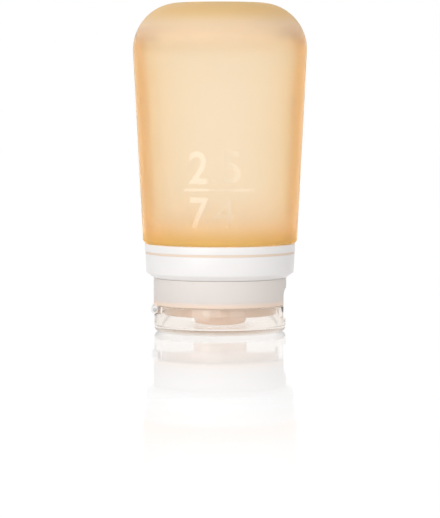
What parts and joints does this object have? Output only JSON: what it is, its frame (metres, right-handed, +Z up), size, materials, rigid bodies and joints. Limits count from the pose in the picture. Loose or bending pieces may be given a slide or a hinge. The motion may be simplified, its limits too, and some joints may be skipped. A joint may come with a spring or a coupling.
{
  "type": "travel silicone bottle",
  "caption": "Soft squeeze bottle that stands on a screw cap with a hinged flip lid, a slit valve and a hard collar round its mouth.",
  "frame": {"origin": "centre of the closed lid's underside, on the surface that the bottle stands on", "axes": "+Z up along the bottle's axis, from the lid to the closed end; the lid's hinge is on the -X side, its thumb ledge on the +X side, and the hinge axis runs along Y"},
  "size_m": [0.046, 0.046, 0.0868],
  "materials": {
    "bottle_silicone": "translucent satin silicone",
    "neck_plastic": "natural milky plastic",
    "white_plastic": "semi-gloss white",
    "seal_silicone": "soft translucent silicone",
    "frosted_plastic": "frosted translucent",
    "pin_steel": "drawn wire",
    "clear_plastic": "clear, polished"
  },
  "bodies": {
    "bottle": {"silicone_bottle": "bottle_silicone", "neck_insert": "neck_plastic", "collar": "white_plastic", "collar_ring": "white_plastic"},
    "gasket": {"cap_gasket": "seal_silicone"},
    "cap": {"cap_base": "frosted_plastic", "dispensing_valve": "seal_silicone", "valve_retainer": "neck_plastic", "hinge_pin": "pin_steel"},
    "lid": {"flip_lid": "clear_plastic"}
  },
  "joints": [
    {"name": "cap_travel", "type": "slide", "parent": "bottle", "child": "gasket", "axis": [0, 0, -1], "range_m": [0, 0.008]},
    {"name": "cap_turn", "type": "hinge", "parent": "gasket", "child": "cap", "pos_m": [0, 0, 0.0107], "axis": [0, 0, -1], "range_deg": [0, 720]},
    {"name": "lid_hinge", "type": "hinge", "parent": "cap", "child": "lid", "pos_m": [-0.0172, 0, 0.00605], "axis": [0, 1, 0], "range_deg": [0, 140]}
  ],
  "couplings": [
    {"joint": "cap_travel", "follows": "cap_turn", "m_per_rad": 0.000636}
  ]
}
